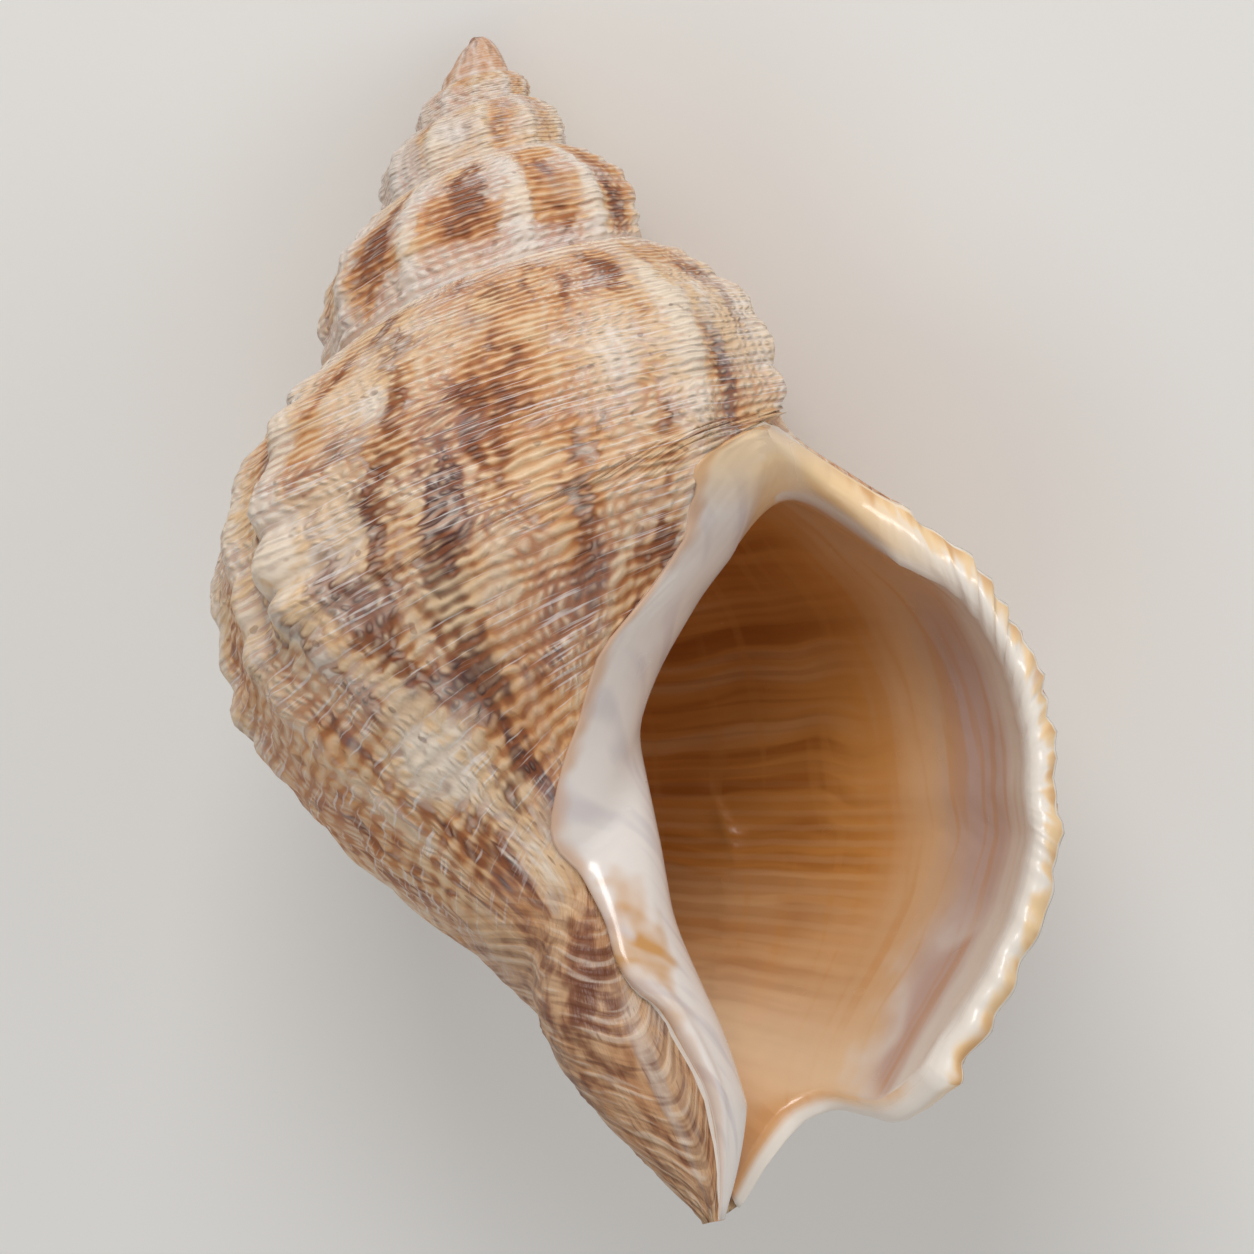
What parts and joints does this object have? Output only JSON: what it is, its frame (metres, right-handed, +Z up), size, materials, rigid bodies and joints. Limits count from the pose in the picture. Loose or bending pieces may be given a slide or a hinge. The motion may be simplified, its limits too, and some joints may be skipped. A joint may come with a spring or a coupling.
{
  "type": "whelk shell",
  "caption": "Spiral sea shell with a tall ribbed spire, a swollen last whorl, a wide glazed mouth and a short open canal, lying on its back with the mouth up.",
  "frame": {"origin": "middle of the bounding box at the surface the shell rests on", "axes": "+Z up, +Y towards the apex, +X towards the outer lip, mouth facing up"},
  "size_m": [0.0554, 0.0756, 0.0473],
  "materials": {
    "shell": "matt ribbed outside, glossy glaze in the mouth"
  },
  "bodies": {
    "root": {"shell": "shell"}
  },
  "joints": []
}
